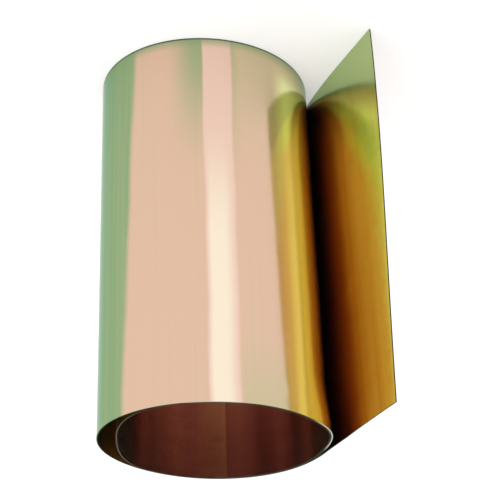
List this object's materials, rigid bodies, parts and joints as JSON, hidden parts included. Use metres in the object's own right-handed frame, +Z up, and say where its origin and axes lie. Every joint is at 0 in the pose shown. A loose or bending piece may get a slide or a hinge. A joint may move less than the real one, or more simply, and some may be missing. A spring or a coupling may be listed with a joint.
{
  "type": "copper foil roll",
  "caption": "Strip of bare polished copper foil wound into a hollow roll standing on end, its outer end standing free as a leaf.",
  "frame": {"origin": "on the roll's axis, in the plane of the rim that it stands on", "axes": "+Z up along the roll's axis; the free leaf stands out to -X and slants towards -Y"},
  "size_m": [0.071, 0.0568, 0.1],
  "materials": {
    "copper_foil": null
  },
  "bodies": {
    "roll": {"outer_turn": "copper_foil", "second_turn": "copper_foil"},
    "leaf_1": {"leaf_1": "copper_foil"},
    "leaf_2": {"leaf_2": "copper_foil"},
    "leaf_3": {"leaf_3": "copper_foil"},
    "leaf_4": {"leaf_4": "copper_foil"},
    "leaf_5": {"leaf_5": "copper_foil"},
    "leaf_6": {"leaf_6": "copper_foil"},
    "leaf_end": {"leaf_end": "copper_foil"},
    "inner_tail_1": {"inner_tail_1": "copper_foil"},
    "inner_tail_2": {"inner_tail_2": "copper_foil"},
    "inner_tail_3": {"inner_tail_3": "copper_foil"},
    "inner_tail_4": {"inner_tail_4": "copper_foil"}
  },
  "joints": [
    {"name": "leaf_peel", "type": "hinge", "parent": "roll", "child": "leaf_1", "pos_m": [-0.0266, 0.00968, 0], "axis": [0, 0, 1], "range_deg": [-30, 3], "stiffness_Nm_per_rad": 0.05},
    {"name": "leaf_curl", "type": "hinge", "parent": "leaf_1", "child": "leaf_2", "pos_m": [-0.02826, 0.00444, 0], "axis": [0, 0, 1], "range_deg": [-5, 13], "stiffness_Nm_per_rad": 0.05},
    {"name": "leaf_curl_2", "type": "hinge", "parent": "leaf_2", "child": "leaf_3", "pos_m": [-0.03007, -0.00076, 0], "axis": [0, 0, 1], "range_deg": [-5, 13]},
    {"name": "leaf_curl_3", "type": "hinge", "parent": "leaf_3", "child": "leaf_4", "pos_m": [-0.03201, -0.0059, 0], "axis": [0, 0, 1], "range_deg": [-5, 13]},
    {"name": "leaf_curl_4", "type": "hinge", "parent": "leaf_4", "child": "leaf_5", "pos_m": [-0.03409, -0.01099, 0], "axis": [0, 0, 1], "range_deg": [-5, 13]},
    {"name": "leaf_curl_5", "type": "hinge", "parent": "leaf_5", "child": "leaf_6", "pos_m": [-0.0363, -0.01603, 0], "axis": [0, 0, 1], "range_deg": [-5, 13]},
    {"name": "leaf_curl_6", "type": "hinge", "parent": "leaf_6", "child": "leaf_end", "pos_m": [-0.03866, -0.021, 0], "axis": [0, 0, 1], "range_deg": [-5, 13]},
    {"name": "tail_curl", "type": "hinge", "parent": "roll", "child": "inner_tail_1", "pos_m": [-0.02576, 0.00937, 0], "axis": [0, 0, 1], "range_deg": [-9, 0], "stiffness_Nm_per_rad": 0.05},
    {"name": "tail_curl_2", "type": "hinge", "parent": "inner_tail_1", "child": "inner_tail_2", "pos_m": [-0.02246, 0.01632, 0], "axis": [0, 0, 1], "range_deg": [-9, 0]},
    {"name": "tail_curl_3", "type": "hinge", "parent": "inner_tail_2", "child": "inner_tail_3", "pos_m": [-0.01714, 0.02194, 0], "axis": [0, 0, 1], "range_deg": [-9, 0]},
    {"name": "tail_curl_4", "type": "hinge", "parent": "inner_tail_3", "child": "inner_tail_4", "pos_m": [-0.01031, 0.02552, 0], "axis": [0, 0, 1], "range_deg": [-9, 0]}
  ],
  "couplings": [
    {"joint": "leaf_curl_2", "follows": "leaf_curl", "ratio": 1},
    {"joint": "leaf_curl_3", "follows": "leaf_curl", "ratio": 1},
    {"joint": "leaf_curl_4", "follows": "leaf_curl", "ratio": 1},
    {"joint": "leaf_curl_5", "follows": "leaf_curl", "ratio": 1},
    {"joint": "leaf_curl_6", "follows": "leaf_curl", "ratio": 1},
    {"joint": "tail_curl_2", "follows": "tail_curl", "ratio": 1},
    {"joint": "tail_curl_3", "follows": "tail_curl", "ratio": 1},
    {"joint": "tail_curl_4", "follows": "tail_curl", "ratio": 1}
  ]
}
